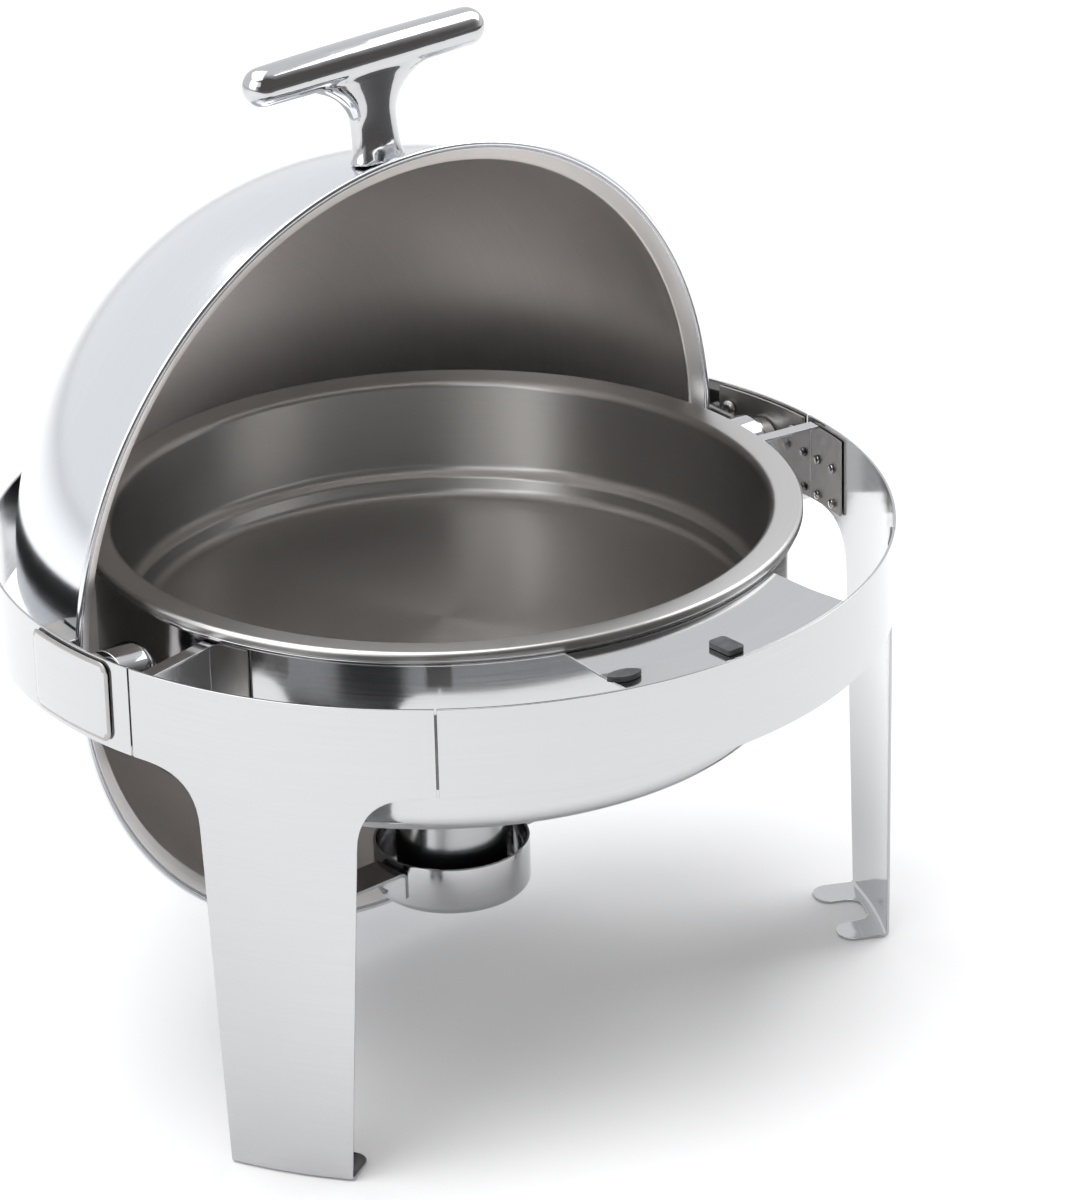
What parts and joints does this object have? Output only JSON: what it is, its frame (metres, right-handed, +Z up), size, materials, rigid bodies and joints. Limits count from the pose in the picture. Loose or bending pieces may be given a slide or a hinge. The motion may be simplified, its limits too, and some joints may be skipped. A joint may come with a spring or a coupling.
{
  "type": "roll top chafer",
  "caption": "Round buffet chafer on a three-legged ring stand with a domed cover that rolls back about side pivots, a lift-out food pan and a fuel holder below.",
  "frame": {"origin": "on the floor under the centre of the ring", "axes": "+Z up, -Y towards the operator at the front, X along the cover's pivot axis"},
  "size_m": [0.4898, 0.4849, 0.5273],
  "materials": {
    "polished_steel": "mirror polished stainless steel",
    "cover_steel": "polished outside, satin inside",
    "pan_steel": "satin",
    "fixing_steel": "plain bright",
    "cast_chrome": "polished casting",
    "can_steel": "tinplate",
    "bumper_rubber": "matt"
  },
  "bodies": {
    "stand": {"front_band": "polished_steel", "front_ledge": "polished_steel", "fuel_cup": "polished_steel", "ledge_bumper_end": "bumper_rubber", "ledge_bumper_middle": "bumper_rubber", "left_bearing_plate": "fixing_steel", "left_bearing_screw_front": "fixing_steel", "left_bearing_screw_rear": "fixing_steel", "left_bracket_rivet_1": "fixing_steel", "left_bracket_rivet_2": "fixing_steel", "left_bracket_rivet_3": "fixing_steel", "left_bracket_rivet_4": "fixing_steel", "left_front_splice": "polished_steel", "left_fuel_hanger": "polished_steel", "left_hinge_cover_plate": "polished_steel", "left_leg_panel": "polished_steel", "left_pan_bracket": "fixing_steel", "left_pivot_boss": "cast_chrome", "left_pivot_pin": "fixing_steel", "left_rear_splice": "polished_steel", "left_side_band": "polished_steel", "rear_leg_panel": "polished_steel", "right_bearing_plate": "fixing_steel", "right_bearing_screw_front": "fixing_steel", "right_bearing_screw_rear": "fixing_steel", "right_bracket_rivet_1": "fixing_steel", "right_bracket_rivet_2": "fixing_steel", "right_bracket_rivet_3": "fixing_steel", "right_bracket_rivet_4": "fixing_steel", "right_front_splice": "polished_steel", "right_fuel_hanger": "polished_steel", "right_hinge_cover_plate": "polished_steel", "right_leg_panel": "polished_steel", "right_pan_bracket": "fixing_steel", "right_pivot_boss": "cast_chrome", "right_pivot_pin": "fixing_steel", "right_rear_splice": "polished_steel", "right_side_band": "polished_steel", "water_pan": "polished_steel"},
    "cover": {"cover_dome": "cover_steel", "handle": "cast_chrome", "handle_screw": "fixing_steel", "handle_washer": "fixing_steel", "left_arm_block": "fixing_steel", "left_arm_screw_1": "fixing_steel", "left_arm_screw_2": "fixing_steel", "left_cover_arm": "fixing_steel", "left_pivot_hub": "cast_chrome", "right_arm_block": "fixing_steel", "right_arm_screw_1": "fixing_steel", "right_arm_screw_2": "fixing_steel", "right_cover_arm": "fixing_steel", "right_pivot_hub": "cast_chrome"},
    "food_pan": {"food_pan": "pan_steel"},
    "fuel_can": {"fuel_can": "can_steel"}
  },
  "joints": [
    {"name": "cover_roll", "type": "hinge", "parent": "stand", "child": "cover", "pos_m": [0, 0, 0.246], "axis": [-1, 0, 0], "range_deg": [-86, 70]},
    {"name": "food_pan_lift", "type": "slide", "parent": "stand", "child": "food_pan", "axis": [0, 0, 1], "range_m": [0, 0.045]},
    {"name": "fuel_can_lift", "type": "slide", "parent": "stand", "child": "fuel_can", "axis": [0, 0, 1], "range_m": [0, 0.04]}
  ]
}
